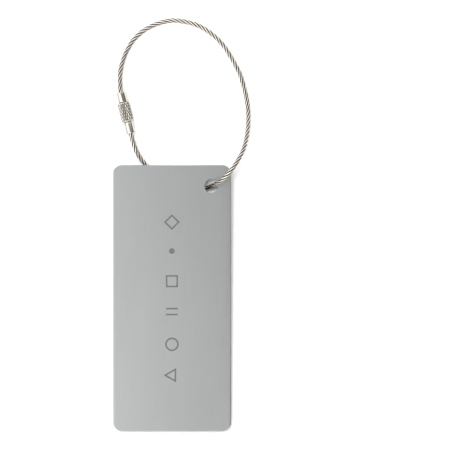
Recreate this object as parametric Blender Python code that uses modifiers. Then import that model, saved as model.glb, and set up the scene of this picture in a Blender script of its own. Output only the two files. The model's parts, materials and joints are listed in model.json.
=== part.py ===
"""A metal luggage tag with a slide-in name plate, hung on a wire-rope loop with a screw lock.

The tag lies on its back on a flat surface. Its top end is propped up a little, because the
wire rope passes under it, up through the hole and over its front. The origin is the middle of
the tag's outline on that surface: X runs across the tag, Y towards the hole, Z is up.
"""

import math

import bmesh
import bpy
from mathutils import Matrix, Vector

MM = 0.001

# The tag, in its own frame: X across, Y from its bottom end, Z from its back to its front.
WIDTH = 40 * MM
LENGTH = 90 * MM
THICKNESS = 3.0 * MM
SHEET = 0.7 * MM
CORNER_RADIUS = 3.0 * MM
BEND_RADIUS = 0.4 * MM
HOLE_SIDE_FLANGE_EDGE_X = 10.1 * MM
FAR_SIDE_FLANGE_EDGE_X = -8.3 * MM
CORNER_RELIEF = 3.4 * MM
CUT_OVERLAP = 0.02 * MM
HOLE_CENTRE = Vector((13.4 * MM, 83.0 * MM))
HOLE_RADIUS = 2.4 * MM
PLASTIC_GAP = 0.1 * MM
OUTLINE_INSET = 0.15 * MM

PLATE_THICKNESS = 0.7 * MM
PLATE_LEFT_X = -17.0 * MM
PLATE_RIGHT_X = 10.85 * MM
PLATE_BOTTOM_Y = 0.7 * MM
PLATE_TOP_Y = 89.6 * MM
PLATE_CORNER_RADIUS = 0.5 * MM
PLATE_BACK_Z = 1.5 * MM
LEDGE_TOP_Z = 1.4 * MM
HOLE_SIDE_LEDGE_X = 8.9 * MM
FAR_SIDE_LEDGE_X = -10.5 * MM
STRIP_WALL_GAP = 0.15 * MM

# The lean: the bottom end's back edge rests on the surface, and the rope holds the top up.
LEAN = math.radians(2.5)
TAG_ORIGIN_Y = -(LENGTH * math.cos(LEAN) - THICKNESS * math.sin(LEAN)) / 2

# The screw lock, along its own axis from the barrel's middle; the stud side is positive.
LOCK_CENTRE = Vector((-15.8 * MM, 63.0 * MM, 2.1 * MM))
LOCK_AXIS = Vector((-0.2425, 0.9702, 0)).normalized()
BARREL_RADIUS = 2.05 * MM
BARREL_HALF_LENGTH = 3.3 * MM
BARREL_BORE_RADIUS = 1.5 * MM
BARREL_LIP_LENGTH = 0.7 * MM
BARREL_LIP_RADIUS = 1.05 * MM
FERRULE_RADIUS = 1.65 * MM
FERRULE_START = 3.5 * MM
SWIVEL_FERRULE_END = 7.4 * MM
STUD_FERRULE_END = 6.9 * MM
SWIVEL_STEM_RADIUS = 0.85 * MM
SWIVEL_HEAD_RADIUS = 1.25 * MM
SWIVEL_HEAD_NEAR = 2.45 * MM
SWIVEL_HEAD_FAR = 1.75 * MM
STUD_RADIUS = 1.0 * MM
STUD_TIP = -0.6 * MM
EDGE_CHAMFER = 0.2 * MM
LOCK_SIDES = 24

# The wire rope: its route's points in millimetres, from the swivel ferrule's mouth under the
# tag, up through the hole, over the front and round the loop to the stud ferrule's mouth.
ROPE_RADIUS = 0.8 * MM
ROPE_POINT_SPACING = 3.2 * MM
ROPE_END_GAP = 0.3 * MM
FLEX_POINT_GAP = 0.45 * MM
FIXED_ROUTE_MM = (
    (-14.0, 55.8, 2.1),
    (-13.3, 53.0, 1.75),
    (-12.2, 50.0, 1.25),
    (-10.5, 47.1, 0.9),
    (-8.2, 44.4, 0.82),
    (-5.2, 41.6, 0.82),
    (-1.5, 39.2, 0.82),
    (2.3, 37.6, 0.82),
    (6.2, 36.85, 0.85),
    (8.9, 36.85, 1.1),
    (10.9, 37.15, 1.95),
    (12.35, 37.55, 3.35),
    (13.4, 37.95, 5.1),
    (14.4, 38.3, 6.85),
    (15.8, 39.05, 8.65),
    (17.8, 40.6, 10.2),
    (20.1, 43.2, 10.9),
    (22.2, 46.3, 10.3),
    (24.0, 49.8, 8.3),
    (25.1, 53.6, 5.7),
    (25.7, 57.9, 3.2),
    (25.85, 62.4, 1.55),
    (25.3, 67.6, 0.9),
    (24.0, 72.9, 0.82),
)
FREE_ROUTE_MM = (
    (24.0, 72.9, 0.82),
    (22.7, 76.7, 0.82),
    (20.3, 81.2, 0.82),
    (17.4, 85.7, 0.82),
    (13.7, 89.4, 0.82),
    (9.2, 92.3, 0.82),
    (4.7, 93.7, 0.82),
    (0.1, 94.2, 0.82),
    (-4.4, 93.3, 0.82),
    (-8.9, 91.3, 0.82),
    (-12.6, 88.2, 0.82),
    (-15.1, 84.5, 0.85),
    (-16.9, 80.0, 1.1),
    (-17.7, 75.2, 1.75),
    (-17.5, 69.7, 2.1),
)


def clear_scene():
    for old_object in list(bpy.data.objects):
        bpy.data.objects.remove(old_object, do_unlink=True)


def new_collection(name, hidden=False):
    collection = bpy.data.collections.new(name)
    collection.hide_render = hidden
    bpy.context.scene.collection.children.link(collection)
    return collection


def finish_material(name, colour, roughness, metallic):
    material = bpy.data.materials.new(name)
    material.use_nodes = True
    shader = material.node_tree.nodes["Principled BSDF"]
    shader.inputs["Base Color"].default_value = (*colour, 1)
    shader.inputs["Roughness"].default_value = roughness
    shader.inputs["Metallic"].default_value = metallic
    return material


def arc(centre_x, centre_y, radius, start, end, steps):
    """Points of an arc, its angles in degrees."""
    angles = (math.radians(start + (end - start) * i / steps) for i in range(steps + 1))
    return [(centre_x + radius * math.cos(a), centre_y + radius * math.sin(a)) for a in angles]


def rounded_rectangle(left, right, bottom, top, radius, steps=8):
    corners = (
        (right - radius, bottom + radius, -90),
        (right - radius, top - radius, 0),
        (left + radius, top - radius, 90),
        (left + radius, bottom + radius, 180),
    )
    return [
        point
        for x, y, start in corners
        for point in arc(x, y, radius, start, start + 90, steps)
    ]


def mesh_from_curve(curve_object):
    """A mesh object in place of a curve object, with the curve's caps welded to its sides."""
    bpy.context.view_layer.update()
    evaluated = curve_object.evaluated_get(bpy.context.evaluated_depsgraph_get())
    mesh = bpy.data.meshes.new_from_object(evaluated)
    work = bmesh.new()
    work.from_mesh(mesh)
    bmesh.ops.remove_doubles(work, verts=work.verts, dist=0.001 * MM)
    bmesh.ops.recalc_face_normals(work, faces=work.faces)
    work.to_mesh(mesh)
    work.free()
    name, curve, place = curve_object.name, curve_object.data, curve_object.matrix_world.copy()
    bpy.data.objects.remove(curve_object)
    bpy.data.curves.remove(curve)
    made = bpy.data.objects.new(name, mesh)
    made.matrix_world = place
    return made


def extruded_outline(name, outline, low, high, upright=False):
    """A flat outline given a thickness from low to high along Z, or along Y if it is upright."""
    curve = bpy.data.curves.new(name + "_outline", "CURVE")
    curve.dimensions = "2D"
    curve.fill_mode = "BOTH"
    curve.extrude = (high - low) / 2
    spline = curve.splines.new("POLY")
    spline.points.add(len(outline) - 1)
    for point, (x, y) in zip(spline.points, outline):
        point.co = (x, y, 0, 1)
    spline.use_cyclic_u = True
    flat = bpy.data.objects.new(name, curve)
    bpy.context.scene.collection.objects.link(flat)
    middle = (low + high) / 2
    if upright:
        flat.matrix_world = Matrix.Translation((0, middle, 0)) @ Matrix.Rotation(math.pi / 2, 4, "X")
    else:
        flat.matrix_world = Matrix.Translation((0, 0, middle))
    return mesh_from_curve(flat)


def cylinder_cutter(name, centre, radius, low, high, sides=32):
    mesh = bpy.data.meshes.new(name)
    work = bmesh.new()
    bmesh.ops.create_cone(
        work,
        cap_ends=True,
        segments=sides,
        radius1=radius,
        radius2=radius,
        depth=high - low,
        matrix=Matrix.Translation((centre.x, centre.y, (low + high) / 2)),
    )
    work.to_mesh(mesh)
    work.free()
    return bpy.data.objects.new(name, mesh)


def box_cutter(name, low_corner, high_corner):
    mesh = bpy.data.meshes.new(name)
    low, high = Vector(low_corner), Vector(high_corner)
    work = bmesh.new()
    bmesh.ops.create_cube(work, size=1)
    bmesh.ops.scale(work, vec=high - low, verts=work.verts)
    bmesh.ops.translate(work, vec=(low + high) / 2, verts=work.verts)
    work.to_mesh(mesh)
    work.free()
    return bpy.data.objects.new(name, mesh)


def keep_cutter(cutter, cutters, parent):
    cutter.parent = parent
    cutter.hide_render = True
    cutter.display_type = "WIRE"
    cutters.objects.link(cutter)
    return cutter


def cut(target, cutter, operation="DIFFERENCE"):
    modifier = target.modifiers.new(cutter.name, "BOOLEAN")
    modifier.operation = operation
    modifier.object = cutter


def add_part(part, parts, material, parent=None):
    part.parent = parent
    part.data.materials.append(material)
    parts.objects.link(part)
    return part


def case_section():
    """The folded sheet's cross-section: the front panel, two side walls and two back flanges."""
    half, bend = WIDTH / 2, BEND_RADIUS
    inner = half - SHEET
    return [
        (HOLE_SIDE_FLANGE_EDGE_X, 0),
        *arc(half - bend, bend, bend, -90, 0, 4),
        *arc(half - bend, THICKNESS - bend, bend, 0, 90, 4),
        *arc(-half + bend, THICKNESS - bend, bend, 90, 180, 4),
        *arc(-half + bend, bend, bend, 180, 270, 4),
        (FAR_SIDE_FLANGE_EDGE_X, 0),
        (FAR_SIDE_FLANGE_EDGE_X, SHEET),
        (-inner, SHEET),
        (-inner, THICKNESS - SHEET),
        (inner, THICKNESS - SHEET),
        (inner, SHEET),
        (HOLE_SIDE_FLANGE_EDGE_X, SHEET),
    ]


def make_case(parts, cutters, tag, material, hole):
    case = extruded_outline("case", case_section(), -MM, LENGTH + MM, upright=True)
    half = WIDTH / 2
    cut_half = half + CUT_OVERLAP
    outline = rounded_rectangle(-cut_half, cut_half, 0, LENGTH, CORNER_RADIUS)
    blank = extruded_outline("case_outline_cutter", outline, -MM, THICKNESS + MM)
    cut(case, keep_cutter(blank, cutters, tag), "INTERSECT")
    for side in (-1, 1):
        for end, start_y in (("bottom", -MM), ("top", LENGTH - CORNER_RELIEF)):
            x_low, x_high = sorted((side * (half - 1.5 * SHEET), side * (half + MM)))
            relief = box_cutter(
                f"{end}_corner_relief_cutter_{'right' if side > 0 else 'left'}",
                (x_low, start_y, SHEET - CUT_OVERLAP),
                (x_high, start_y + CORNER_RELIEF + MM, THICKNESS - SHEET + CUT_OVERLAP),
            )
            cut(case, keep_cutter(relief, cutters, tag))
    cut(case, hole)
    add_part(case, parts, material, tag)


def make_guide_strip(name, side, ledge_x, groove_x, parts, cutters, tag, material, hole=None):
    """A plastic strip under one flange: a full-depth rail outside, and a ledge that holds the plate."""
    low, high = SHEET + PLASTIC_GAP, THICKNESS - SHEET - PLASTIC_GAP
    outer = WIDTH / 2 - OUTLINE_INSET
    radius = CORNER_RADIUS - OUTLINE_INSET
    outline = rounded_rectangle(-outer, outer, OUTLINE_INSET, LENGTH - OUTLINE_INSET, radius)
    strip = extruded_outline(name, outline, low, high)
    x_low, x_high = sorted((ledge_x, -side * WIDTH))
    other_side = box_cutter(name + "_width_cutter", (x_low, -MM, 0), (x_high, LENGTH + MM, THICKNESS))
    cut(strip, keep_cutter(other_side, cutters, tag))
    x_low, x_high = sorted((side * (WIDTH / 2 - SHEET - STRIP_WALL_GAP), side * WIDTH))
    wall_ends = CORNER_RELIEF - STRIP_WALL_GAP
    wall = box_cutter(
        name + "_wall_cutter",
        (x_low, wall_ends, 0),
        (x_high, LENGTH - wall_ends, THICKNESS),
    )
    cut(strip, keep_cutter(wall, cutters, tag))
    x_low, x_high = sorted((groove_x, -side * WIDTH))
    groove = box_cutter(
        name + "_groove_cutter",
        (x_low, PLATE_BOTTOM_Y - 2 * PLASTIC_GAP, LEDGE_TOP_Z),
        (x_high, LENGTH + MM, THICKNESS),
    )
    cut(strip, keep_cutter(groove, cutters, tag))
    if hole:
        cut(strip, hole)
    add_part(strip, parts, material, tag)


def make_name_plate(parts, tag, material):
    outline = rounded_rectangle(
        PLATE_LEFT_X, PLATE_RIGHT_X, PLATE_BOTTOM_Y, PLATE_TOP_Y, PLATE_CORNER_RADIUS, 3
    )
    plate = extruded_outline("name_plate", outline, PLATE_BACK_Z, PLATE_BACK_Z + PLATE_THICKNESS)
    add_part(plate, parts, material, tag)


def turned(name, profile, parts, material, parent):
    """A turned piece about its parent's Z: the profile gives (radius, height), outer side downwards."""
    mesh = bpy.data.meshes.new(name)
    work = bmesh.new()
    points = [work.verts.new((radius, 0, height)) for radius, height in profile]
    for first, second in zip(points, points[1:]):
        work.edges.new((first, second))
    work.to_mesh(mesh)
    work.free()
    piece = bpy.data.objects.new(name, mesh)
    screw = piece.modifiers.new("turn", "SCREW")
    screw.steps = LOCK_SIDES
    screw.render_steps = LOCK_SIDES
    screw.use_merge_vertices = True
    screw.merge_threshold = 0.01 * MM
    screw.use_smooth_shade = False
    add_part(piece, parts, material, parent)


def ferrule_profile(near, far, shank):
    """A crimped collar from near to far, both along the axis and far the greater, under its shank."""
    chamfer = EDGE_CHAMFER
    return [
        (0, far),
        (FERRULE_RADIUS - chamfer, far),
        (FERRULE_RADIUS, far - chamfer),
        (FERRULE_RADIUS, near + chamfer),
        (FERRULE_RADIUS - chamfer, near),
        *shank,
    ]


def make_lock(parts, nickel):
    """The barrel turns on the swivel ferrule's headed stem and screws onto the other one's stud."""
    lock = bpy.data.objects.new("lock_axis", None)
    lock.location = LOCK_CENTRE
    lock.rotation_euler = LOCK_AXIS.to_track_quat("Z", "Y").to_euler()
    parts.objects.link(lock)
    swivel = bpy.data.objects.new("swivel_axis", None)
    swivel.parent = lock
    swivel.rotation_euler = (math.pi, 0, 0)
    parts.objects.link(swivel)
    chamfer, half = EDGE_CHAMFER, BARREL_HALF_LENGTH
    barrel = [
        (BARREL_BORE_RADIUS, half),
        (BARREL_RADIUS - chamfer, half),
        (BARREL_RADIUS, half - chamfer),
        (BARREL_RADIUS, -half + chamfer),
        (BARREL_RADIUS - chamfer, -half),
        (BARREL_LIP_RADIUS, -half),
        (BARREL_LIP_RADIUS, -half + BARREL_LIP_LENGTH),
        (BARREL_BORE_RADIUS, -half + BARREL_LIP_LENGTH),
        (BARREL_BORE_RADIUS, half),
    ]
    turned("lock_barrel", barrel, parts, nickel, lock)
    stud = [
        (STUD_RADIUS, FERRULE_START),
        (STUD_RADIUS, STUD_TIP + chamfer),
        (STUD_RADIUS - chamfer, STUD_TIP),
        (0, STUD_TIP),
    ]
    turned("stud_ferrule", ferrule_profile(FERRULE_START, STUD_FERRULE_END, stud), parts, nickel, lock)
    stem = [
        (SWIVEL_STEM_RADIUS, FERRULE_START),
        (SWIVEL_STEM_RADIUS, SWIVEL_HEAD_NEAR),
        (SWIVEL_HEAD_RADIUS, SWIVEL_HEAD_NEAR),
        (SWIVEL_HEAD_RADIUS, SWIVEL_HEAD_FAR),
        (0, SWIVEL_HEAD_FAR),
    ]
    profile = ferrule_profile(FERRULE_START, SWIVEL_FERRULE_END, stem)
    turned("swivel_ferrule", profile, parts, nickel, swivel)


def smooth_route(route, steps=12):
    """A smooth curve through the route's points, as Catmull-Rom spans."""
    points = [Vector(p) * MM for p in route]
    before, after = 2 * points[0] - points[1], 2 * points[-1] - points[-2]
    chain = [before, *points, after]
    line = []
    for a, b, c, d in zip(chain, chain[1:], chain[2:], chain[3:]):
        for i in range(steps):
            t = i / steps
            line.append(
                0.5 * (2 * b + (c - a) * t + (2 * a - 5 * b + 4 * c - d) * t**2)
                + 0.5 * (3 * b - a - 3 * c + d) * t**3
            )
    return [*line, points[-1]]


def evenly_spaced(line, start_gap, end_gap, spacing):
    """Points along a line, the same distance apart, from start_gap after its start to end_gap before its end."""
    along = [0.0]
    for a, b in zip(line, line[1:]):
        along.append(along[-1] + (b - a).length)
    first, last = start_gap, along[-1] - end_gap
    count = round((last - first) / spacing)
    found, span = [], 0
    for i in range(count + 1):
        at = first + (last - first) * i / count
        while along[span + 1] < at:
            span += 1
        share = (at - along[span]) / (along[span + 1] - along[span])
        found.append(line[span].lerp(line[span + 1], share))
    return found


def make_rope(name, points, parts, material):
    curve = bpy.data.curves.new(name, "CURVE")
    curve.dimensions = "3D"
    curve.bevel_depth = ROPE_RADIUS
    curve.bevel_resolution = 2
    curve.use_fill_caps = True
    spline = curve.splines.new("POLY")
    spline.points.add(len(points) - 1)
    for point, place in zip(spline.points, points):
        point.co = (*place, 1)
    add_part(bpy.data.objects.new(name, curve), parts, material)


def main():
    clear_scene()
    parts = new_collection("luggage_tag")
    cutters = new_collection("cutters", hidden=True)

    aluminium = finish_material("brushed_aluminium", (0.50, 0.52, 0.51), 0.38, 1.0)
    plastic = finish_material("black_plastic", (0.02, 0.02, 0.022), 0.45, 0.0)
    nickel = finish_material("polished_nickel", (0.72, 0.70, 0.64), 0.15, 1.0)
    steel = finish_material("stainless_rope", (0.62, 0.57, 0.50), 0.3, 1.0)

    tag = bpy.data.objects.new("tag_lean", None)
    tag.location = (0, TAG_ORIGIN_Y, 0)
    tag.rotation_euler = (LEAN, 0, 0)
    parts.objects.link(tag)
    hole = cylinder_cutter("hole_cutter", HOLE_CENTRE, HOLE_RADIUS, -MM, THICKNESS + MM)
    keep_cutter(hole, cutters, tag)

    make_case(parts, cutters, tag, aluminium, hole)
    make_guide_strip(
        "guide_strip_hole_side",
        1,
        HOLE_SIDE_LEDGE_X,
        PLATE_RIGHT_X + STRIP_WALL_GAP,
        parts,
        cutters,
        tag,
        plastic,
        hole,
    )
    make_guide_strip(
        "guide_strip_far_side",
        -1,
        FAR_SIDE_LEDGE_X,
        PLATE_LEFT_X - STRIP_WALL_GAP,
        parts,
        cutters,
        tag,
        plastic,
    )
    make_name_plate(parts, tag, aluminium)
    make_lock(parts, nickel)

    fixed = smooth_route(FIXED_ROUTE_MM)
    free = smooth_route(FREE_ROUTE_MM)
    half_gap = FLEX_POINT_GAP / 2
    fixed_points = evenly_spaced(fixed, ROPE_END_GAP, half_gap, ROPE_POINT_SPACING)
    free_points = evenly_spaced(free, half_gap, ROPE_END_GAP, ROPE_POINT_SPACING)
    make_rope("cable_fixed_half", fixed_points, parts, steel)
    make_rope("cable_free_half", free_points, parts, steel)


main()
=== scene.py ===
"""The luggage tag's looks: brushed aluminium, black plastic strips, a twisted wire rope and a
knurled screw lock, laid on a pale floor and seen from straight above."""

import json
import math

import bmesh
import bpy
import numpy as np
from mathutils import Matrix, Vector


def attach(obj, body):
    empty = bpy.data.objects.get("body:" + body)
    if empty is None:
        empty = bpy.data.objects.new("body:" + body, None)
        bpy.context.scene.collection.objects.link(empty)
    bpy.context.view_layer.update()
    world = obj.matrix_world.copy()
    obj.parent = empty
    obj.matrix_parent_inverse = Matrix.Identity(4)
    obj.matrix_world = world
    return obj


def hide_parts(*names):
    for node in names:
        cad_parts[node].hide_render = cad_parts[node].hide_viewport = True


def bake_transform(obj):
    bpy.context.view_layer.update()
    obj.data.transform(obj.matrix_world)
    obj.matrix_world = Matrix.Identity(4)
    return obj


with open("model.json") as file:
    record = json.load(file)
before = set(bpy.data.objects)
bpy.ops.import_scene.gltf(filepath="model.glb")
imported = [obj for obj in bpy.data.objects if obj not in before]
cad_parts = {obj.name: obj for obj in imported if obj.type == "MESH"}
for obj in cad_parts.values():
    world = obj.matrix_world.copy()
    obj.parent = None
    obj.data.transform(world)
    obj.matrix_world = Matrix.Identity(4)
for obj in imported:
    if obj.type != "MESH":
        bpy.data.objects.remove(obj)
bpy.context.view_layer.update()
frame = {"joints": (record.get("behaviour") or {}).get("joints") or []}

MM = 0.001

# ---------------------------------------------------------------- sizes shared with the frame
# The tag's own frame: X across, Y from its bottom end, Z from its back to its front.
WIDTH = 40 * MM
LENGTH = 90 * MM
THICKNESS = 3.0 * MM
SHEET = 0.7 * MM
CORNER_RADIUS = 3.0 * MM
BEND_RADIUS = 0.4 * MM
INNER_BEND_RADIUS = 0.15 * MM
HOLE_SIDE_FLANGE_EDGE_X = 10.1 * MM
FAR_SIDE_FLANGE_EDGE_X = -8.3 * MM
CORNER_RELIEF = 3.4 * MM
HOLE_CENTRE = Vector((13.4 * MM, 83.0 * MM))
HOLE_RADIUS = 2.4 * MM
PLATE_THICKNESS = 0.7 * MM
PLATE_LEFT_X = -17.0 * MM
PLATE_RIGHT_X = 10.85 * MM
PLATE_BOTTOM_Y = 0.7 * MM
PLATE_TOP_Y = 89.6 * MM
PLATE_BACK_Z = 1.5 * MM
LEDGE_TOP_Z = 1.4 * MM
HOLE_SIDE_LEDGE_X = 8.9 * MM
FAR_SIDE_LEDGE_X = -10.5 * MM
PLASTIC_GAP = 0.1 * MM
OUTLINE_INSET = 0.15 * MM
STRIP_WALL_GAP = 0.15 * MM
STRIP_HOLE_CLEARANCE = 0.06 * MM
PAST = MM  # how far a cutter reaches past what it cuts
SKIN = 0.02 * MM  # how far a cutter clears a face that it would otherwise lie on
CASE_EDGE_ROUNDING = 0.09 * MM
STRIP_EDGE_ROUNDING = 0.08 * MM
PLATE_EDGE_ROUNDING = 0.07 * MM
PLATE_CORNER_RADIUS = 0.5 * MM

joints = {joint["name"]: joint for joint in frame["joints"]}
slide_axis = Vector(joints["plate_slide"]["axis"])
LEAN = math.atan2(slide_axis.z, slide_axis.y)
TAG_ORIGIN_Y = -(LENGTH * math.cos(LEAN) - THICKNESS * math.sin(LEAN)) / 2
TAG_PLACE = Matrix.Translation((0, TAG_ORIGIN_Y, 0)) @ Matrix.Rotation(LEAN, 4, "X")

LOCK_CENTRE = Vector(joints["barrel_turn"]["pos_m"])
LOCK_AXIS = Vector(joints["barrel_turn"]["axis"]).normalized()
LOCK_PLACE = Matrix.Translation(LOCK_CENTRE) @ LOCK_AXIS.to_track_quat("Z", "Y").to_matrix().to_4x4()
SWIVEL_PLACE = LOCK_PLACE @ Matrix.Rotation(math.pi, 4, "X")

BARREL_RADIUS = 2.05 * MM
BARREL_HALF_LENGTH = 3.3 * MM
BARREL_BORE_RADIUS = 1.5 * MM
BARREL_LIP_LENGTH = 0.7 * MM
BARREL_LIP_RADIUS = 1.05 * MM
FERRULE_RADIUS = 1.65 * MM
FERRULE_START = 3.5 * MM
SWIVEL_FERRULE_END = 7.4 * MM
STUD_FERRULE_END = 6.9 * MM
STUD_RADIUS = 1.0 * MM
STUD_TIP = -0.6 * MM

# The rope's route, in millimetres: from the swivel ferrule's mouth, under the tag, up through
# the hole, over the front and round the loop to the stud ferrule's mouth.
ROPE_DIAMETER = 1.6 * MM
ROUTE_MM = (
    (-14.0, 55.8, 2.1),
    (-13.3, 53.0, 1.75),
    (-12.2, 50.0, 1.25),
    (-10.5, 47.1, 0.9),
    (-8.2, 44.4, 0.82),
    (-5.2, 41.6, 0.82),
    (-1.5, 39.2, 0.82),
    (2.3, 37.6, 0.82),
    (6.2, 36.85, 0.85),
    (8.9, 36.85, 1.1),
    (10.9, 37.15, 1.95),
    (12.35, 37.55, 3.35),
    (13.4, 37.95, 5.1),
    (14.4, 38.3, 6.85),
    (15.8, 39.05, 8.65),
    (17.8, 40.6, 10.2),
    (20.1, 43.2, 10.9),
    (22.2, 46.3, 10.3),
    (24.0, 49.8, 8.3),
    (25.1, 53.6, 5.7),
    (25.7, 57.9, 3.2),
    (25.85, 62.4, 1.55),
    (25.3, 67.6, 0.9),
    (24.0, 72.9, 0.82),
    (22.7, 76.7, 0.82),
    (20.3, 81.2, 0.82),
    (17.4, 85.7, 0.82),
    (13.7, 89.4, 0.82),
    (9.2, 92.3, 0.82),
    (4.7, 93.7, 0.82),
    (0.1, 94.2, 0.82),
    (-4.4, 93.3, 0.82),
    (-8.9, 91.3, 0.82),
    (-12.6, 88.2, 0.82),
    (-15.1, 84.5, 0.85),
    (-16.9, 80.0, 1.1),
    (-17.7, 75.2, 1.75),
    (-17.5, 69.7, 2.1),
)
ROPE_INTO_FERRULE = 1.5 * MM


# ---------------------------------------------------------------- shader building
class Value:
    """A node's output; arithmetic on it adds Math nodes to the same finish."""

    def __init__(self, finish, socket):
        self.finish = finish
        self.socket = socket

    def math(self, operation, *others, clamp=False):
        inputs = dict(enumerate((self, *others)))
        return self.finish.node("Math", {"operation": operation, "use_clamp": clamp}, inputs)

    def __add__(self, other):
        return self.math("ADD", other)

    def __radd__(self, other):
        return self.math("ADD", other)

    def __sub__(self, other):
        return self.math("SUBTRACT", other)

    def __rsub__(self, other):
        return self.math("MULTIPLY_ADD", -1.0, other)

    def __mul__(self, other):
        return self.math("MULTIPLY", other)

    def __rmul__(self, other):
        return self.math("MULTIPLY", other)

    def clamped(self):
        return self.math("ADD", 0.0, clamp=True)


class Nodes:
    """A node tree under construction."""

    def __init__(self, owner):
        owner.use_nodes = True
        self.tree = owner.node_tree

    def node(self, kind, settings=None, inputs=None, output=0):
        made = self.tree.nodes.new("ShaderNode" + kind)
        for setting, value in (settings or {}).items():
            if setting == "stops":
                self.set_stops(made.color_ramp, value)
            else:
                setattr(made, setting, value)
        for socket, value in (inputs or {}).items():
            self.feed(made.inputs[socket], value)
        return Value(self, made.outputs[output])

    def feed(self, socket, value):
        if isinstance(value, Value):
            self.tree.links.new(value.socket, socket)
        else:
            socket.default_value = value

    def set_stops(self, ramp, stops):
        while len(ramp.elements) < len(stops):
            ramp.elements.new(0.5)
        for element, (position, colour) in zip(ramp.elements, stops):
            element.position = position
            element.color = (*colour, 1)

    def parts(self, vector):
        return [
            self.node("SeparateXYZ", inputs={"Vector": vector}, output=axis)
            for axis in ("X", "Y", "Z")
        ]

    def at(self, x, y, z):
        return self.node("CombineXYZ", inputs={"X": x, "Y": y, "Z": z})

    def noise(self, vector, scale, detail=2.0, roughness=0.5):
        inputs = {"Vector": vector, "Scale": scale, "Detail": detail, "Roughness": roughness}
        return self.node("TexNoise", inputs=inputs, output="Fac")

    def mix(self, share, first, second):
        """Two colours mixed; 6 and 7 are the node's colour inputs, and 2 its colour output."""
        settings = {"data_type": "RGBA"}
        inputs = {"Factor": share, 6: first, 7: second}
        return self.node("Mix", settings, inputs, output=2)

    def step(self, value, low, high):
        """0 below low and 1 above high, with a smooth rise between them."""
        settings = {"interpolation_type": "SMOOTHSTEP"}
        return self.node("MapRange", settings, {"Value": value, "From Min": low, "From Max": high})


class Finish(Nodes):
    """A material for the object, on one Principled shader."""

    def __init__(self, name, **constants):
        self.material = bpy.data.materials.new(name)
        super().__init__(self.material)
        self.shader = self.tree.nodes["Principled BSDF"]
        for socket_name, value in constants.items():
            self.shader.inputs[socket_name.replace("_", " ")].default_value = value

    def place(self):
        """X, Y and Z in the piece's own coordinates, in millimetres."""
        coordinates = self.node("TexCoord", output="Object")
        return [part * (1 / MM) for part in self.parts(coordinates)]

    def bump(self, height, strength, distance):
        inputs = {"Height": height, "Strength": strength, "Distance": distance}
        return self.node("Bump", inputs=inputs)

    def set(self, **values):
        for socket_name, value in values.items():
            self.feed(self.shader.inputs[socket_name.replace("_", " ")], value)
        return self.material


def rgba(red, green, blue):
    return (red, green, blue, 1.0)


def brushed_aluminium(name, tone, streak):
    """Satin metal brushed along the tag: long fine scratches, faint bands and a soft cloudiness."""
    finish = Finish(name, Metallic=1.0)
    x, y, z = finish.place()
    hair = finish.noise(finish.at(x * 11.0, y * 0.09, z * 11.0), 1.0, 3.0, 0.62)
    band = finish.noise(finish.at(x * 2.6, y * 0.035 + 4.0, z * 2.6), 1.0, 2.0, 0.5)
    cloud = finish.noise(finish.at(x * 0.06, y * 0.03, z * 0.06), 1.0, 1.0, 0.4)
    shade = (hair - 0.5) * streak + (band - 0.5) * (streak * 0.8) + (cloud - 0.5) * 0.16 + 0.5
    light = tuple(min(1.0, c * 1.22) for c in tone)
    dark = tuple(c * 0.78 for c in tone)
    colour = finish.mix(shade.clamped(), rgba(*dark), rgba(*light))
    rough = (hair - 0.5) * 0.14 + (band - 0.5) * 0.06 + 0.34
    return finish.set(
        Base_Color=colour,
        Roughness=rough.clamped(),
        Normal=finish.bump(hair + band * 0.5, 0.35, 0.012 * MM),
    )


def black_plastic():
    finish = Finish("black_plastic_moulded", Metallic=0.0)
    x, y, z = finish.place()
    grain = finish.noise(finish.at(x, y, z), 9.0, 2.0, 0.6)
    scuff = finish.noise(finish.at(x * 0.8, y * 0.15, z * 0.8), 1.0, 3.0, 0.6)
    colour = finish.mix(scuff, rgba(0.008, 0.008, 0.009), rgba(0.03, 0.03, 0.032))
    return finish.set(
        Base_Color=colour,
        Roughness=(grain * 0.16 + scuff * 0.2 + 0.28).clamped(),
        Normal=finish.bump(grain, 0.25, 0.02 * MM),
    )


def polished_nickel(name, roughness, tint, knurled=False):
    """Plated and polished metal with faint turning marks round its axis and soft handling marks.
    The knurled finish has painted shade at the bottoms of its grooves."""
    finish = Finish(name, Metallic=1.0)
    x, y, z = finish.place()
    turning = finish.noise(finish.at(0.0, 0.0, z), 14.0, 2.0, 0.6)
    smear = finish.noise(finish.at(x, y, z), 1.1, 2.0, 0.5)
    colour = finish.mix(smear, rgba(*(c * 0.9 for c in tint)), rgba(*tint))
    if knurled:
        # Painted shade: the knurled colour turns dark where the crest attribute falls towards the
        # groove bottoms.
        crest = finish.node("Attribute", {"attribute_name": "crest"}, output="Fac")
        colour = finish.mix(finish.step(crest, 0.05, 0.85), rgba(0.16, 0.147, 0.125), colour)
    return finish.set(
        Base_Color=colour,
        Roughness=((smear - 0.5) * 0.12 + (turning - 0.5) * 0.08 + roughness).clamped(),
        Normal=finish.bump(turning, 0.15, 0.01 * MM),
    )


def rope_wire():
    """Bright drawn wire, with painted shade down in the lay between the strands."""
    finish = Finish("stainless_wire", Metallic=1.0)
    x, y, z = finish.place()
    crest = finish.node("Attribute", {"attribute_name": "crest"}, output="Fac")
    drawn = finish.noise(finish.at(x, y, z), 2.2, 2.0, 0.6)
    metal = finish.mix(drawn, rgba(0.84, 0.78, 0.70), rgba(1.0, 0.95, 0.87))
    # Painted shade: the wire's colour turns dark where the crest mask falls away into the grooves
    # between strands.
    colour = finish.mix(finish.step(crest, 0.15, 0.85), rgba(0.13, 0.113, 0.093), metal)
    return finish.set(
        Base_Color=colour,
        Roughness=((drawn - 0.5) * 0.12 + (1 - crest) * 0.2 + 0.36).clamped(),
    )


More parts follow.
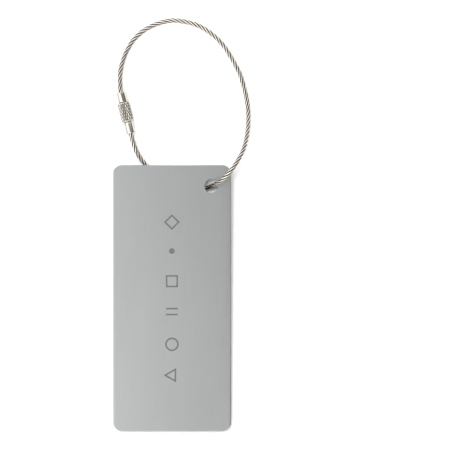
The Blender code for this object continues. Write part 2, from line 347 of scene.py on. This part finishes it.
def etched_grey(name, tone):
    """Laser marking: matt grey oxide with a faint grain."""
    finish = Finish(name, Metallic=0.25)
    x, y, z = finish.place()
    grain = finish.noise(finish.at(x, y, z), 14.0, 2.0, 0.6)
    dark = rgba(*(c * 0.85 for c in tone))
    light = rgba(*(c * 1.12 for c in tone))
    return finish.set(Base_Color=finish.mix(grain, dark, light), Roughness=grain * 0.15 + 0.55)


def pale_floor():
    finish = Finish("pale_floor", Metallic=0.0, Specular_IOR_Level=0.1)
    x, y, z = finish.place()
    cloud = finish.noise(finish.at(x * 0.004, y * 0.004, z), 1.0, 2.0, 0.5)
    colour = finish.mix(cloud, rgba(0.73, 0.73, 0.727), rgba(0.75, 0.75, 0.748))
    return finish.set(Base_Color=colour, Roughness=cloud * 0.1 + 0.75)


# ---------------------------------------------------------------- mesh building
def mesh_object(name, mesh, place=None, material=None):
    made = bpy.data.objects.new(name, mesh)
    bpy.context.scene.collection.objects.link(made)
    made.matrix_world = place or Matrix.Identity(4)
    if material:
        made.data.materials.append(material)
    return made


def arc(centre_x, centre_y, radius, start, end, steps):
    """Points of an arc, its angles in degrees."""
    angles = (math.radians(start + (end - start) * i / steps) for i in range(steps + 1))
    return [(centre_x + radius * math.cos(a), centre_y + radius * math.sin(a)) for a in angles]


def rounded_rectangle(left, right, bottom, top, radius, steps=16):
    corners = (
        (right - radius, bottom + radius, -90),
        (right - radius, top - radius, 0),
        (left + radius, top - radius, 90),
        (left + radius, bottom + radius, 180),
    )
    return [
        point
        for x, y, start in corners
        for point in arc(x, y, radius, start, start + 90, steps)
    ]


def prism(name, outline, low, high, upright=False):
    """A flat outline extruded from low to high along Z, or along Y if it is upright."""
    work = bmesh.new()
    if upright:
        ring = [work.verts.new((x, low, y)) for x, y in outline]
    else:
        ring = [work.verts.new((x, y, low)) for x, y in outline]
    face = work.faces.new(ring)
    offset = Vector((0, high - low, 0)) if upright else Vector((0, 0, high - low))
    grown = bmesh.ops.extrude_face_region(work, geom=[face])
    top = [part for part in grown["geom"] if isinstance(part, bmesh.types.BMVert)]
    bmesh.ops.translate(work, vec=offset, verts=top)
    bmesh.ops.recalc_face_normals(work, faces=work.faces)
    mesh = bpy.data.meshes.new(name)
    work.to_mesh(mesh)
    work.free()
    return mesh


def box(name, low, high):
    outline = ((low[0], low[1]), (high[0], low[1]), (high[0], high[1]), (low[0], high[1]))
    return prism(name, outline, low[2], high[2])


def carve(name, mesh, cuts):
    """The mesh after its cuts, each (operation, cutter mesh)."""
    block = mesh_object(name + "_blank", mesh)
    cutters = []
    for operation, cutter_mesh in cuts:
        cutter = mesh_object(name + "_cutter", cutter_mesh)
        modifier = block.modifiers.new("cut", "BOOLEAN")
        modifier.operation = operation
        modifier.object = cutter
        cutters.append(cutter)
    bpy.context.view_layer.update()
    graph = bpy.context.evaluated_depsgraph_get()
    carved = bpy.data.meshes.new_from_object(block.evaluated_get(graph))
    carved.name = name
    for used in (block, *cutters):
        bpy.data.objects.remove(used)
    work = bmesh.new()
    work.from_mesh(carved)
    bmesh.ops.remove_doubles(work, verts=work.verts, dist=0.002 * MM)
    bmesh.ops.dissolve_limit(
        work, angle_limit=math.radians(0.5), verts=work.verts, edges=work.edges
    )
    work.to_mesh(carved)
    work.free()
    return carved


SHARP_ANGLE = math.radians(35)


def soften(piece, width, segments):
    """Rounds a piece's sharp edges and shades its faces smooth across them."""
    bevel = piece.modifiers.new("edges", "BEVEL")
    bevel.width = width
    bevel.segments = segments
    bevel.limit_method = "ANGLE"
    bevel.angle_limit = SHARP_ANGLE
    bevel.harden_normals = True
    piece.data.shade_smooth()
    piece.data.set_sharp_from_angle(angle=SHARP_ANGLE)


# ---------------------------------------------------------------- the tag
def case_section():
    """The folded sheet's cross-section, with the bends' inner and outer radii."""
    half, bend, inner_bend = WIDTH / 2, BEND_RADIUS, INNER_BEND_RADIUS
    inner, top = half - SHEET, THICKNESS - SHEET
    return [
        (HOLE_SIDE_FLANGE_EDGE_X, 0),
        *arc(half - bend, bend, bend, -90, 0, 8),
        *arc(half - bend, THICKNESS - bend, bend, 0, 90, 8),
        *arc(-half + bend, THICKNESS - bend, bend, 90, 180, 8),
        *arc(-half + bend, bend, bend, 180, 270, 8),
        (FAR_SIDE_FLANGE_EDGE_X, 0),
        (FAR_SIDE_FLANGE_EDGE_X, SHEET),
        *arc(-inner + inner_bend, SHEET + inner_bend, inner_bend, 270, 180, 4),
        *arc(-inner + inner_bend, top - inner_bend, inner_bend, 180, 90, 4),
        *arc(inner - inner_bend, top - inner_bend, inner_bend, 90, 0, 4),
        *arc(inner - inner_bend, SHEET + inner_bend, inner_bend, 0, -90, 4),
        (HOLE_SIDE_FLANGE_EDGE_X, SHEET),
    ]


def hole_cutter(radius=HOLE_RADIUS, sides=64):
    outline = arc(HOLE_CENTRE.x, HOLE_CENTRE.y, radius, 0, 360 - 360 / sides, sides - 1)
    return prism("hole", outline, -PAST, THICKNESS + PAST)


def make_case(material):
    """The folded sheet: its section drawn out, cut to the rounded outline, its walls relieved at
    the four corners, and the rope's hole."""
    half = WIDTH / 2 + SKIN
    outline = rounded_rectangle(-half, half, 0, LENGTH, CORNER_RADIUS)
    cuts = [("INTERSECT", prism("outline", outline, -PAST, THICKNESS + PAST))]
    for side in (-1, 1):
        x_low, x_high = sorted((side * (WIDTH / 2 - 1.5 * SHEET), side * (WIDTH / 2 + PAST)))
        for start in (-PAST, LENGTH - CORNER_RELIEF):
            low = (x_low, start, SHEET - SKIN)
            high = (x_high, start + CORNER_RELIEF + PAST, THICKNESS - SHEET + SKIN)
            cuts.append(("DIFFERENCE", box("relief", low, high)))
    cuts.append(("DIFFERENCE", hole_cutter()))
    section = prism("case_section", case_section(), -PAST, LENGTH + PAST, upright=True)
    case = mesh_object("case_folded_sheet", carve("case", section, cuts), TAG_PLACE, material)
    soften(case, CASE_EDGE_ROUNDING, 3)
    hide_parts("case")
    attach(case, "tag")


def make_strip(name, node, side, ledge_x, groove_x, material, with_hole):
    """A guide strip inside one side of the case: side is 1 or -1, ledge_x where its ledge under
    the plate ends, and groove_x where its wall beside the plate stands."""
    low, high = SHEET + PLASTIC_GAP, THICKNESS - SHEET - PLASTIC_GAP
    outer = WIDTH / 2 - OUTLINE_INSET
    radius = CORNER_RADIUS - OUTLINE_INSET
    outline = rounded_rectangle(-outer, outer, OUTLINE_INSET, LENGTH - OUTLINE_INSET, radius)
    blank = prism(name, outline, low, high)
    ends = CORNER_RELIEF - STRIP_WALL_GAP
    wall_x = side * (WIDTH / 2 - SHEET - STRIP_WALL_GAP)
    groove_start = PLATE_BOTTOM_Y - 2 * PLASTIC_GAP
    cuts = []
    for part, edge_x, far_x, start, end, bottom in (
        ("width", ledge_x, -side * WIDTH, -PAST, LENGTH + PAST, 0),
        ("wall", wall_x, side * WIDTH, ends, LENGTH - ends, 0),
        ("groove", groove_x, -side * WIDTH, groove_start, LENGTH + PAST, LEDGE_TOP_Z),
    ):
        x_low, x_high = sorted((edge_x, far_x))
        cutter = box(part, (x_low, start, bottom), (x_high, end, THICKNESS))
        cuts.append(("DIFFERENCE", cutter))
    if with_hole:
        cuts.append(("DIFFERENCE", hole_cutter(HOLE_RADIUS + STRIP_HOLE_CLEARANCE)))
    strip = mesh_object(name, carve(name, blank, cuts), TAG_PLACE, material)
    soften(strip, STRIP_EDGE_ROUNDING, 2)
    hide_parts(node)
    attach(strip, "tag")


def make_plate(material):
    outline = rounded_rectangle(
        PLATE_LEFT_X, PLATE_RIGHT_X, PLATE_BOTTOM_Y, PLATE_TOP_Y, PLATE_CORNER_RADIUS, 8
    )
    mesh = prism("name_plate_sheet", outline, PLATE_BACK_Z, PLATE_BACK_Z + PLATE_THICKNESS)
    plate = mesh_object("name_plate_sheet", mesh, TAG_PLACE, material)
    soften(plate, PLATE_EDGE_ROUNDING, 3)
    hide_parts("name_plate")
    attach(plate, "plate")


def stroke_ring(outline, width):
    """The outline's line, width wide: its outer and inner loops."""
    points = [Vector(p) for p in outline]
    centre = sum(points, Vector((0, 0))) / len(points)
    loops = []
    for offset in (width / 2, -width / 2):
        loop = []
        for before, here, after in zip(points[-1:] + points[:-1], points, points[1:] + points[:1]):
            first, second = (here - before).normalized(), (after - here).normalized()
            normals = [Vector((d.y, -d.x)) for d in (first, second)]
            normals = [n if n.dot(here - centre) > 0 else -n for n in normals]
            bisector = (normals[0] + normals[1]).normalized()
            loop.append(here + bisector * (offset / max(0.3, bisector.dot(normals[0]))))
        loops.append(loop)
    return loops


def inlay(name, loops_or_outline, centre, low, high, closed_line):
    """A thin raised mark: a filled outline, or the ribbon between two loops."""
    work = bmesh.new()
    if closed_line:
        outer, inner = (
            [work.verts.new((p.x + centre[0], p.y + centre[1], low)) for p in loop]
            for loop in loops_or_outline
        )
        for i in range(len(outer)):
            j = (i + 1) % len(outer)
            work.faces.new((outer[i], outer[j], inner[j], inner[i]))
    else:
        work.faces.new(
            [work.verts.new((x + centre[0], y + centre[1], low)) for x, y in loops_or_outline]
        )
    grown = bmesh.ops.extrude_face_region(work, geom=list(work.faces))
    moved = [part for part in grown["geom"] if isinstance(part, bmesh.types.BMVert)]
    bmesh.ops.translate(work, vec=(0, 0, high - low), verts=moved)
    bmesh.ops.recalc_face_normals(work, faces=work.faces)
    mesh = bpy.data.meshes.new(name)
    work.to_mesh(mesh)
    work.free()
    return mesh


MARK_HEIGHT = 4.6 * MM
MARK_LINE = 0.55 * MM
MARK_RISE = 0.012 * MM
MARK_ROOT = 0.02 * MM
BAR_SHIFT = 1.0 * MM
MARK_CENTRES_Y = [y * MM for y in (18.9, 29.4, 40.5, 50.8, 61.0, 70.8)]


def regular(sides, radius, turn=0.0):
    return arc(0, 0, radius, turn, turn + 360 - 360 / sides, sides - 1)


def front_marks(material):
    """Six plain geometric marks in a row along the front's middle."""
    radius = MARK_HEIGHT / 2
    low, high = THICKNESS - MARK_ROOT, THICKNESS + MARK_RISE
    half, line = radius - MARK_LINE / 2, MARK_LINE
    bar = [(-half, -line / 2), (half, -line / 2), (half, line / 2), (-half, line / 2)]
    shapes = (
        ("triangle", [stroke_ring(regular(3, radius, 180), line)], True),
        ("ring", [stroke_ring(regular(48, half), line)], True),
        ("bars", [[(x, y + shift) for x, y in bar] for shift in (-BAR_SHIFT, BAR_SHIFT)], False),
        ("square", [stroke_ring(regular(4, half * 1.25, 45), line)], True),
        ("disc", [regular(40, radius * 0.42)], False),
        ("diamond", [stroke_ring(regular(4, radius, 0), line)], True),
    )
    for (kind, drawn, closed_line), y in zip(shapes, MARK_CENTRES_Y):
        for number, outline in enumerate(drawn, start=1):
            name = f"front_mark_{kind}" + (f"_{number}" if len(drawn) > 1 else "")
            mesh = inlay(name, outline, (0, y), low, high, closed_line)
            mark = mesh_object(name, mesh, TAG_PLACE, material)
            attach(mark, "tag")


RULED_LINE_X = -2.9 * MM
RULED_LINE_HALF_WIDTH = 0.09 * MM
RULED_LINE_BOTTOM_Y = 20.5 * MM
RULED_LINE_TOP_Y = 84.8 * MM
DOT_RADIUS = 0.42 * MM
DOTS_X = RULED_LINE_X + 0.9 * MM
DOTS_Y = [y * MM for y in (8.6, 10.7, 12.8, 14.9, 17.0)]


def plate_lines(material):
    """The ruled writing line on the name plate's back, and a row of dots where it starts."""
    low, high = PLATE_BACK_Z - MARK_RISE, PLATE_BACK_Z + MARK_ROOT
    x, half = RULED_LINE_X, RULED_LINE_HALF_WIDTH
    bottom, top = RULED_LINE_BOTTOM_Y, RULED_LINE_TOP_Y
    outline = [(x - half, bottom), (x + half, bottom), (x + half, top), (x - half, top)]
    mesh = inlay("plate_ruled_line", outline, (0, 0), low, high, False)
    line = mesh_object("plate_ruled_line", mesh, TAG_PLACE, material)
    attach(line, "plate")
    for number, y in enumerate(DOTS_Y, start=1):
        name = f"plate_dot_{number}"
        mesh = inlay(name, regular(16, DOT_RADIUS), (DOTS_X, y), low, high, False)
        dot = mesh_object(name, mesh, TAG_PLACE, material)
        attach(dot, "plate")


# ---------------------------------------------------------------- the rope
def smooth_route(route, steps=24):
    """A smooth curve through the route's points, as Catmull-Rom spans."""
    points = np.array(route) * MM
    chain = np.vstack([2 * points[0] - points[1], points, 2 * points[-1] - points[-2]])
    line = []
    for a, b, c, d in zip(chain, chain[1:], chain[2:], chain[3:]):
        for i in range(steps):
            t = i / steps
            line.append(
                0.5 * (2 * b + (c - a) * t + (2 * a - 5 * b + 4 * c - d) * t**2)
                + 0.5 * (3 * b - a - 3 * c + d) * t**3
            )
    return np.array([*line, points[-1]])


def evenly_spaced(line, spacing):
    along = np.concatenate([[0], np.cumsum(np.linalg.norm(np.diff(line, axis=0), axis=1))])
    at = np.linspace(0, along[-1], round(along[-1] / spacing) + 1)
    return np.stack([np.interp(at, along, line[:, axis]) for axis in range(3)], axis=1)


def carried_frames(line):
    """Two directions across the line at each point, carried along it without twist."""
    tangents = np.gradient(line, axis=0)
    tangents /= np.linalg.norm(tangents, axis=1)[:, None]
    across = np.cross(tangents[0], (0, 0, 1))
    firsts = []
    for tangent in tangents:
        across = across - tangent * across.dot(tangent)
        across /= np.linalg.norm(across)
        firsts.append(across)
    firsts = np.array(firsts)
    return firsts, np.cross(tangents, firsts)


STRANDS = 5
STRAND_LAY = 9.6 * MM
STRAND_CIRCLE = 0.515 * MM
STRAND_RADIUS = 0.285 * MM
WIRES = 6
WIRE_LAY = 3.4 * MM
WIRE_GROOVE = 0.035 * MM
WIRE_SHADE = 0.25
BRIGHT_DEPTH = 0.12 * MM
RING_SPACING = 0.3 * MM
STRAND_SIDES = 14
CORE_SIDES = 8


def tube_faces(rings, sides, start=0):
    faces = []
    for ring in range(rings - 1):
        for side in range(sides):
            a = start + ring * sides + side
            b = start + ring * sides + (side + 1) % sides
            faces.append((a, b, b + sides, a + sides))
    faces.append(tuple(range(start + sides - 1, start - 1, -1)))
    last = start + (rings - 1) * sides
    faces.append(tuple(range(last, last + sides)))
    return faces


def strand_rings(line, frames, number):
    """A strand's rings of points round the rope's line, and how near each point is to the crest
    of the lay: 1 on it, 0 down in the grooves."""
    firsts, seconds = frames
    along = np.arange(len(line)) * np.linalg.norm(line[1] - line[0])
    around = np.linspace(0, 2 * np.pi, STRAND_SIDES, endpoint=False)
    phase = 2 * np.pi * (along / STRAND_LAY + number / STRANDS)
    radial = np.cos(phase)[:, None] * firsts + np.sin(phase)[:, None] * seconds
    centre = line + STRAND_CIRCLE * radial
    tangent = np.gradient(centre, axis=0)
    tangent /= np.linalg.norm(tangent, axis=1)[:, None]
    radial = radial - tangent * (radial * tangent).sum(1)[:, None]
    radial /= np.linalg.norm(radial, axis=1)[:, None]
    sideways = np.cross(tangent, radial)
    wire_turn = 2 * np.pi * along / WIRE_LAY
    lobes = np.abs(np.cos(WIRES / 2 * (around[None, :] + wire_turn[:, None])))
    radius = STRAND_RADIUS - WIRE_GROOVE * (1 - lobes)
    rings = (
        centre[:, None]
        + radius[..., None] * np.cos(around)[None, :, None] * radial[:, None]
        + radius[..., None] * np.sin(around)[None, :, None] * sideways[:, None]
    )
    outward = np.linalg.norm(rings - line[:, None], axis=2)
    depth = STRAND_CIRCLE + STRAND_RADIUS - outward
    # The crest value is the mask for the painted shade in the rope's grooves; WIRE_SHADE paints the
    # wires' own grooves darker too.
    crest = np.clip(1 - depth / BRIGHT_DEPTH, 0, 1) * (1 - WIRE_SHADE + WIRE_SHADE * lobes)
    return rings, crest


def core_rings(line, frames):
    firsts, seconds = frames
    around = np.linspace(0, 2 * np.pi, CORE_SIDES, endpoint=False)
    return line[:, None] + STRAND_RADIUS * (
        np.cos(around)[None, :, None] * firsts[:, None]
        + np.sin(around)[None, :, None] * seconds[:, None]
    )


def rope_mesh(line):
    """Strands laid round a core, each with its wires' grooves, as closed tubes in one mesh."""
    frames = carried_frames(line)
    points, faces, crest = [], [], []
    for number in range(STRANDS):
        rings, strand_crest = strand_rings(line, frames, number)
        faces += tube_faces(len(line), STRAND_SIDES, len(points))
        points += rings.reshape(-1, 3).tolist()
        crest += strand_crest.reshape(-1).tolist()
    faces += tube_faces(len(line), CORE_SIDES, len(points))
    points += core_rings(line, frames).reshape(-1, 3).tolist()
    crest += [0.0] * (len(line) * CORE_SIDES)
    mesh = bpy.data.meshes.new("wire_rope")
    mesh.from_pydata(points, [], faces)
    mesh.attributes.new("crest", "FLOAT", "POINT").data.foreach_set("value", crest)
    work = bmesh.new()
    work.from_mesh(mesh)
    bmesh.ops.recalc_face_normals(work, faces=work.faces)
    work.to_mesh(mesh)
    work.free()
    mesh.shade_smooth()
    return mesh


def make_rope(material):
    route = smooth_route(ROUTE_MM)
    into_ferrule = np.array(LOCK_AXIS) * ROPE_INTO_FERRULE
    whole = np.vstack([route[0] + into_ferrule, route, route[-1] - into_ferrule])
    line = evenly_spaced(whole, RING_SPACING)
    rope = mesh_object("wire_rope", rope_mesh(line), None, material)
    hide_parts("cable_fixed_half", "cable_free_half")
    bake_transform(rope)


# ---------------------------------------------------------------- the screw lock
TURNED_SHARP_ANGLE = math.radians(32)


def turned(name, rows, sides, place, material, relief=None):
    """A turned piece about Z: rows of (radius, height, how much of the relief it takes), outer side
    downwards. A row of radius 0 closes it; otherwise the last row meets the first."""
    work = bmesh.new()
    crest = work.verts.layers.float.new("crest")
    rings = []
    for radius, height, weight in rows:
        if radius == 0:
            rings.append([work.verts.new((0, 0, height))] * sides)
            continue
        ring = []
        for side in range(sides):
            angle = 2 * math.pi * side / sides
            cut = weight * relief(angle, height) if weight else 0
            r = radius - cut
            ring.append(work.verts.new((r * math.cos(angle), r * math.sin(angle), height)))
            # The crest attribute is 1 on the surface and 0 at the deepest cut; the knurled finish
            # paints shade by it.
            ring[-1][crest] = 1 - cut / KNURL_DEPTH
        rings.append(ring)
    pairs = list(zip(rings, rings[1:]))
    if rows[0][0]:
        pairs.append((rings[-1], rings[0]))
    for upper, lower in pairs:
        for side in range(sides):
            after = (side + 1) % sides
            corners = []
            for vert in (upper[side], lower[side], lower[after], upper[after]):
                if vert not in corners:
                    corners.append(vert)
            if len(corners) > 2:
                work.faces.new(corners)
    bmesh.ops.recalc_face_normals(work, faces=work.faces)
    mesh = bpy.data.meshes.new(name)
    work.to_mesh(mesh)
    work.free()
    piece = mesh_object(name, mesh, place, material)
    piece.data.shade_smooth()
    piece.data.set_sharp_from_angle(angle=TURNED_SHARP_ANGLE)
    return piece


def upper_corner(radius, height, fillet):
    """Rows round the outer corner below height, from its top face down to its side."""
    return [(r, h, 0) for r, h in arc(radius - fillet, height - fillet, fillet, 90, 0, 4)]


def lower_corner(radius, height, fillet):
    """Rows round the outer corner above height, from its side down to its bottom face."""
    return [(r, h, 0) for r, h in arc(radius - fillet, height + fillet, fillet, 0, -90, 4)]


KNURL_STARTS = 15
KNURL_PITCH = 2.1 * MM
KNURL_DEPTH = 0.24 * MM
KNURL_LAND = 0.22
KNURL_EDGE = 0.35 * MM
KNURL_PLAIN_END = 0.12 * MM
KNURL_ROW = 0.1 * MM
BARREL_FILLET = 0.18 * MM
BORE_CHAMFER = 0.12 * MM
LIP_CHAMFER = 0.1 * MM


def knurl(angle, height):
    """How deep the diamond knurl is cut there: two crossed sets of V grooves, with a land left
    between them."""
    turns = KNURL_STARTS * angle / (2 * math.pi)
    grooves = [abs(2 * ((turns + way * height / KNURL_PITCH) % 1) - 1) for way in (-1, 1)]
    return KNURL_DEPTH * max(0.0, (max(grooves) - KNURL_LAND) / (1 - KNURL_LAND))


def make_barrel(material):
    half, bore, lip = BARREL_HALF_LENGTH, BARREL_BORE_RADIUS, BARREL_LIP_RADIUS
    rows = [(bore, half - BORE_CHAMFER, 0), (bore + BORE_CHAMFER, half, 0)]
    rows += upper_corner(BARREL_RADIUS, half, BARREL_FILLET)
    count = round(2 * (half - BARREL_FILLET) / KNURL_ROW)
    for i in range(1, count):
        height = half - BARREL_FILLET - i * KNURL_ROW
        weight = min(1.0, (half - abs(height) - KNURL_PLAIN_END) / KNURL_EDGE)
        rows.append((BARREL_RADIUS, height, weight))
    rows += lower_corner(BARREL_RADIUS, -half, BARREL_FILLET)
    rows += [
        (lip + LIP_CHAMFER, -half, 0),
        (lip, -half + LIP_CHAMFER, 0),
        (lip, -half + BARREL_LIP_LENGTH, 0),
        (bore, -half + BARREL_LIP_LENGTH, 0),
    ]
    barrel = turned("lock_barrel_knurled", rows, KNURL_STARTS * 12, LOCK_PLACE, material, knurl)
    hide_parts("lock_barrel")
    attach(barrel, "barrel")
    return barrel


THREAD_PITCH = 0.4 * MM
THREAD_DEPTH = 0.16 * MM
THREAD_STEPS = 8
THREAD_RUN_OUT = 0.3 * MM
COLLAR_MOUTH_RADIUS = ROPE_DIAMETER / 2 + 0.08 * MM
COLLAR_MOUTH_DEPTH = 2.2 * MM
COLLAR_FILLET = 0.22 * MM
COLLAR_RING_FROM_MOUTH = 0.75 * MM
STEM_RADIUS = 0.85 * MM
HEAD_RADIUS = 1.25 * MM
HEAD_TOP = 2.45 * MM
HEAD_BOTTOM = 1.75 * MM


def thread(angle, height):
    return THREAD_DEPTH * abs(2 * ((height / THREAD_PITCH + angle / (2 * math.pi)) % 1) - 1)


def collar_rows(far):
    """The crimped collar: its mouth's bore, the flared mouth, a turned ring and the inner end."""
    mouth, radius = COLLAR_MOUTH_RADIUS, FERRULE_RADIUS
    rows = [
        (0, far - COLLAR_MOUTH_DEPTH, 0),
        (mouth, far - COLLAR_MOUTH_DEPTH, 0),
        (mouth, far - 0.25 * MM, 0),
        (mouth + 0.2 * MM, far, 0),
    ]
    rows += upper_corner(radius, far, COLLAR_FILLET)
    ring = far - COLLAR_RING_FROM_MOUTH
    rows += [
        (radius, ring + 0.09 * MM, 0),
        (radius - 0.05 * MM, ring + 0.04 * MM, 0),
        (radius - 0.05 * MM, ring - 0.04 * MM, 0),
        (radius, ring - 0.09 * MM, 0),
    ]
    rows += lower_corner(radius, FERRULE_START, COLLAR_FILLET)
    return rows


def make_stud_ferrule(material):
    """The collar with its threaded stud, which thins out at the tip."""
    rows = collar_rows(STUD_FERRULE_END)
    rows += [
        (STUD_RADIUS + 0.12 * MM, FERRULE_START, 0),
        (STUD_RADIUS - 0.12 * MM, FERRULE_START - 0.25 * MM, 0),
    ]
    step = THREAD_PITCH / THREAD_STEPS
    count = round((FERRULE_START - 0.4 * MM - STUD_TIP) / step)
    for i in range(count):
        height = FERRULE_START - 0.3 * MM - i * step
        weight = min(1.0, (height - STUD_TIP) / THREAD_RUN_OUT + 0.2)
        rows.append((STUD_RADIUS, height, weight))
    rows += [(STUD_RADIUS - 0.25 * MM, STUD_TIP, 0), (0, STUD_TIP, 0)]
    ferrule = turned("stud_ferrule_turned", rows, 64, LOCK_PLACE, material, thread)
    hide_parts("stud_ferrule")
    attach(ferrule, "loop_end")
    return ferrule


def make_swivel_ferrule(material):
    """The collar with the stem and head that hold the barrel."""
    rows = collar_rows(SWIVEL_FERRULE_END)
    rows += [
        (STEM_RADIUS + 0.1 * MM, FERRULE_START, 0),
        (STEM_RADIUS, FERRULE_START - 0.1 * MM, 0),
        (STEM_RADIUS, HEAD_TOP, 0),
        (HEAD_RADIUS - 0.05 * MM, HEAD_TOP, 0),
        (HEAD_RADIUS, HEAD_TOP - 0.05 * MM, 0),
        (HEAD_RADIUS, HEAD_BOTTOM + 0.1 * MM, 0),
        (HEAD_RADIUS - 0.1 * MM, HEAD_BOTTOM, 0),
        (0, HEAD_BOTTOM, 0),
    ]
    ferrule = turned("swivel_ferrule_turned", rows, 64, SWIVEL_PLACE, material)
    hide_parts("swivel_ferrule")
    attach(ferrule, "loop")
    return ferrule


# ---------------------------------------------------------------- the studio
VIEW_CENTRE = Vector((18.3 * MM, 24.4 * MM, 3 * MM))
VIEW_WIDTH = 153.2 * MM
LENS_MM = 250
SENSOR_MM = 36


def make_camera():
    camera = bpy.data.objects.new("camera", bpy.data.cameras.new("camera"))
    camera.data.lens = LENS_MM
    camera.data.sensor_width = SENSOR_MM
    camera.location = VIEW_CENTRE + Vector((0, 0, VIEW_WIDTH * LENS_MM / SENSOR_MM))
    bpy.context.scene.collection.objects.link(camera)
    bpy.context.scene.camera = camera


def make_softbox(name, place, target, size, power, reflected):
    light = bpy.data.lights.new(name, "AREA")
    light.shape = "RECTANGLE"
    light.size, light.size_y = size
    light.energy = power
    lamp = bpy.data.objects.new(name, light)
    lamp.visible_glossy = reflected
    lamp.location = place
    lamp.rotation_euler = (Vector(target) - Vector(place)).to_track_quat("-Z", "Y").to_euler()
    bpy.context.scene.collection.objects.link(lamp)


# Each softbox: its name, place, what it points at, size, power in watts, and whether metal
# reflects it.
SOFTBOXES = (
    ("key_softbox", (-0.10, 0.15, 0.95), (0.01, 0.03, 0), (0.22, 0.22), 6.0, False),
    ("tag_softbox", (-0.24, -0.08, 0.34), (-0.05, -0.05, 0), (0.34, 0.5), 0.5, True),
    ("right_fill", (0.40, 0.20, 0.80), (0.02, 0.03, 0), (0.25, 0.25), 1.0, False),
)

# The room's tones from the floor's level (0) to straight up (1): a pale wall, a grey band, a wide
# bright ring of cloth and a greyer ceiling.
ROOM_STRENGTH = 1.25
ROOM_TONES = (
    (0.10, (0.75, 0.75, 0.75)),
    (0.22, (0.42, 0.42, 0.42)),
    (0.50, (0.42, 0.42, 0.42)),
    (0.62, (1.5, 1.5, 1.5)),
    (0.90, (1.5, 1.5, 1.5)),
    (0.98, (0.40, 0.40, 0.40)),
)
RIGHT_CLOTH = (0.06, 0.055, 0.05)
DARK_WALL = (0.02, 0.02, 0.02)
FLOOR_HALF_WIDTH = 2.0
FLOOR_THICKNESS = 20 * MM


def make_room():
    """The surroundings that the metal reflects. The ring is brighter at the room's two ends, a
    brown cloth hangs over its right side, and a dark wall stands low on the right."""
    world = bpy.data.worlds.new("studio")
    room = Nodes(world)
    right, back, up = room.parts(room.node("TexCoord", output="Generated"))
    ends = room.step(back.math("ABSOLUTE"), 0.25, 0.6)
    ring = room.node("ValToRGB", {"stops": ROOM_TONES}, {"Fac": up}) * (ends * 0.6 + 0.75)
    cloth = room.step(up, 0.15, 0.35) * (1 - room.step(up, 0.965, 0.995)) * (1 - ends)
    cloth = cloth * room.step(right, -0.1, 0.2)
    dark_wall = room.step(right * 0.95 - back * 0.3, 0.62, 0.8) * (1 - room.step(up, 0.4, 0.65))
    tone = room.mix(cloth * 0.85, ring, rgba(*RIGHT_CLOTH))
    tone = room.mix(dark_wall, tone, rgba(*DARK_WALL))
    backdrop = world.node_tree.nodes["Background"]
    room.feed(backdrop.inputs["Color"], tone)
    backdrop.inputs["Strength"].default_value = ROOM_STRENGTH
    bpy.context.scene.world = world


def make_floor():
    half = FLOOR_HALF_WIDTH
    outline = ((-half, -half), (half, -half), (half, half), (-half, half))
    floor = mesh_object("floor", prism("floor", outline, -FLOOR_THICKNESS, 0), None, pale_floor())


make_camera()
nickel = polished_nickel("polished_nickel", 0.23, (0.74, 0.705, 0.64))
knurled = polished_nickel("knurled_nickel", 0.30, (0.69, 0.65, 0.585), knurled=True)
lock_pieces = [make_swivel_ferrule(nickel), make_stud_ferrule(nickel), make_barrel(knurled)]
make_rope(rope_wire())

case_metal = brushed_aluminium("brushed_aluminium_case", (0.44, 0.455, 0.451), 0.16)
plate_metal = brushed_aluminium("brushed_aluminium_plate", (0.70, 0.71, 0.71), 0.24)
make_case(case_metal)
plastic = black_plastic()
make_strip(
    "guide_strip_hole_side_moulded",
    "guide_strip_hole_side",
    1,
    HOLE_SIDE_LEDGE_X,
    PLATE_RIGHT_X + STRIP_WALL_GAP,
    plastic,
    with_hole=True,
)
make_strip(
    "guide_strip_far_side_moulded",
    "guide_strip_far_side",
    -1,
    FAR_SIDE_LEDGE_X,
    PLATE_LEFT_X - STRIP_WALL_GAP,
    plastic,
    with_hole=False,
)
make_plate(plate_metal)
front_marks(etched_grey("front_etching", (0.105, 0.115, 0.115)))
plate_lines(etched_grey("plate_etching", (0.25, 0.25, 0.25)))

make_room()
make_floor()
for softbox in SOFTBOXES:
    make_softbox(*softbox)
bpy.context.scene.view_settings.view_transform = "Standard"
